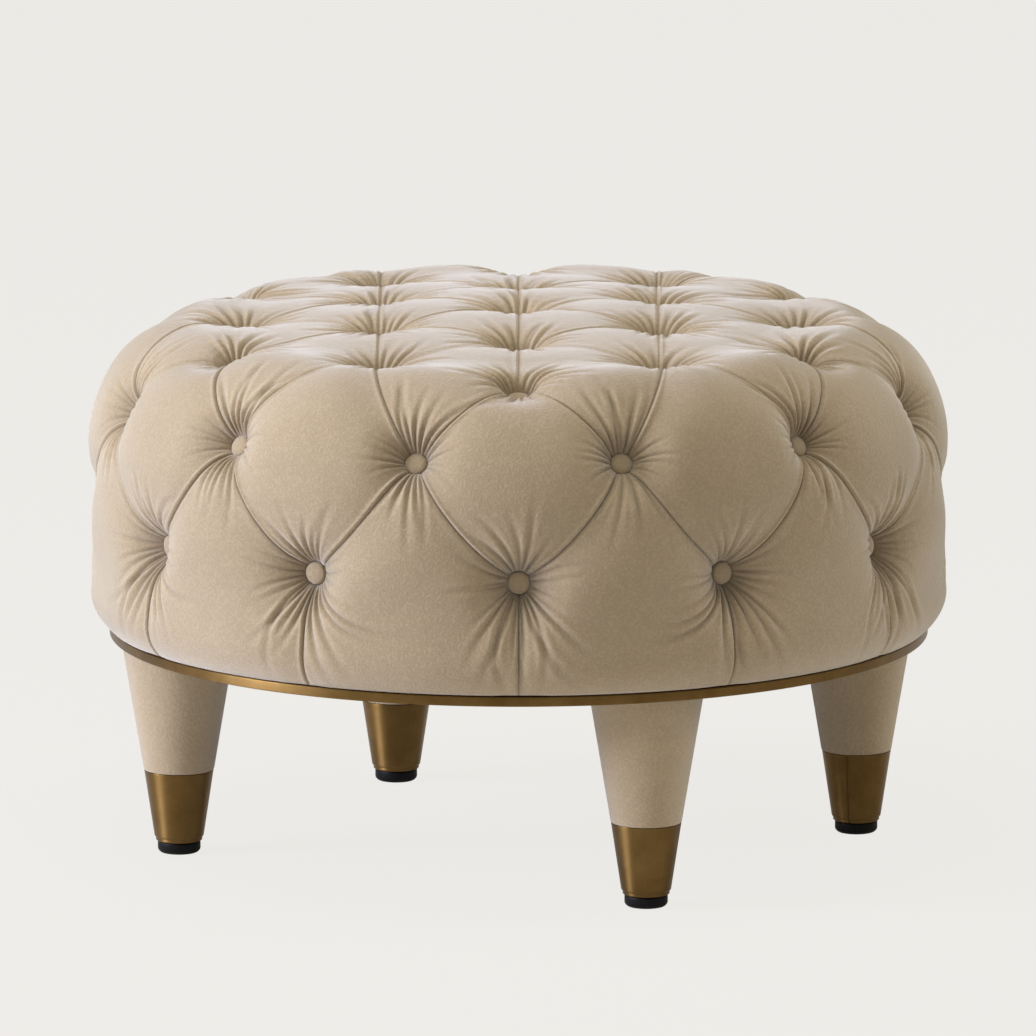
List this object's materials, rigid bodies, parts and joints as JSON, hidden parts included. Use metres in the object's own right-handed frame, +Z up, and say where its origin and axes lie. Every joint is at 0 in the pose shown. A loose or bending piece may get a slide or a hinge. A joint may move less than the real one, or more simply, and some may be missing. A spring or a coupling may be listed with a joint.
{
  "type": "cocktail ottoman",
  "caption": "Round deep-buttoned velvet cocktail ottoman with a thin brass band at its base and tapered velvet-covered legs in brass ferrules on black levelling glides.",
  "frame": {"origin": "on the floor under the middle of the drum", "axes": "+Z up; -Y is the side that faces the camera in the picture; +X to its right"},
  "size_m": [0.7, 0.7, 0.4419],
  "materials": {
    "velvet": "sand velvet",
    "button_velvet": "sand velvet",
    "leg_velvet": "sand velvet",
    "batting": "polyester wadding",
    "foam": "upholstery foam",
    "twine": "waxed twine",
    "dust_cloth": "black cloth",
    "plywood": "birch plywood",
    "post_wood": "planed pine",
    "leg_wood": "turned beech",
    "fibreboard": "hardboard",
    "plinth_paint": "black painted board",
    "band_brass": "brushed antique brass",
    "ferrule_brass": "brushed antique brass",
    "insert_brass": "plain brass",
    "steel": "zinc plated steel",
    "glide_black": "black nylon"
  },
  "bodies": {
    "ottoman": {"velvet_cover": "velvet", "top_buttons": "button_velvet", "upper_row_buttons": "button_velvet", "lower_row_buttons": "button_velvet", "batting": "batting", "foam_top": "foam", "foam_side": "foam", "deck_board": "plywood", "base_board": "plywood", "plinth_board": "plinth_paint", "side_hoop": "fibreboard", "dust_cover": "dust_cloth", "brass_band": "band_brass", "button_backs": "steel", "top_twine": "twine", "side_twine": "twine", "top_washers": "fibreboard", "side_washers": "fibreboard", "hem_staples": "steel", "hanger_bolts": "steel", "t_nuts": "steel", "leg_inserts": "insert_brass", "deck_screws": "steel", "base_screws": "steel", "plinth_screws": "steel", "post_1": "post_wood", "post_2": "post_wood", "post_3": "post_wood", "post_4": "post_wood", "post_5": "post_wood", "post_6": "post_wood", "post_7": "post_wood", "post_8": "post_wood", "leg_core_front_left": "leg_wood", "leg_sleeve_front_left": "leg_velvet", "ferrule_front_left": "ferrule_brass", "leg_core_front_right": "leg_wood", "leg_sleeve_front_right": "leg_velvet", "ferrule_front_right": "ferrule_brass", "leg_core_back_right": "leg_wood", "leg_sleeve_back_right": "leg_velvet", "ferrule_back_right": "ferrule_brass", "leg_core_back_left": "leg_wood", "leg_sleeve_back_left": "leg_velvet", "ferrule_back_left": "ferrule_brass"},
    "leveller_front_left": {"glide_front_left": "glide_black", "stem_front_left": "steel"},
    "leveller_front_right": {"glide_front_right": "glide_black", "stem_front_right": "steel"},
    "leveller_back_right": {"glide_back_right": "glide_black", "stem_back_right": "steel"},
    "leveller_back_left": {"glide_back_left": "glide_black", "stem_back_left": "steel"}
  },
  "joints": [
    {"name": "level_front_left", "type": "slide", "parent": "ottoman", "child": "leveller_front_left", "axis": [0, 0, -1], "range_m": [0, 0.008]},
    {"name": "level_front_right", "type": "slide", "parent": "ottoman", "child": "leveller_front_right", "axis": [0, 0, -1], "range_m": [0, 0.008]},
    {"name": "level_back_right", "type": "slide", "parent": "ottoman", "child": "leveller_back_right", "axis": [0, 0, -1], "range_m": [0, 0.008]},
    {"name": "level_back_left", "type": "slide", "parent": "ottoman", "child": "leveller_back_left", "axis": [0, 0, -1], "range_m": [0, 0.008]}
  ]
}
